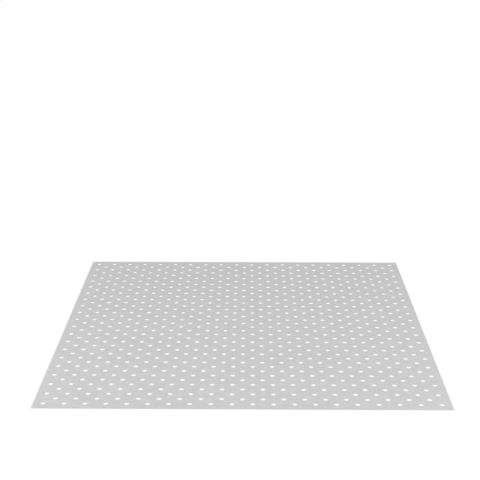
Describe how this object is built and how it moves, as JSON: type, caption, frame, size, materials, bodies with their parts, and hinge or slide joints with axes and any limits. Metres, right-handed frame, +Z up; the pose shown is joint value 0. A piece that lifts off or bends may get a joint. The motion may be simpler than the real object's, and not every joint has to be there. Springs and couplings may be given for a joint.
{
  "type": "perforated metal sheet",
  "caption": "Flat square sheet of thin steel, punched all over with round holes in staggered rows, for guards, screens, shelves and cladding.",
  "frame": {"origin": "centre of the sheet, on its underside", "axes": "+X and +Y along the sheet's two sides and along its rows of holes, which are the same both ways, +Z up out of the top face"},
  "size_m": [0.998, 0.998, 0.001],
  "materials": {
    "sheet_steel": "galvanised, even and light grey"
  },
  "bodies": {
    "root": {"perforated_sheet": "sheet_steel"}
  },
  "joints": []
}
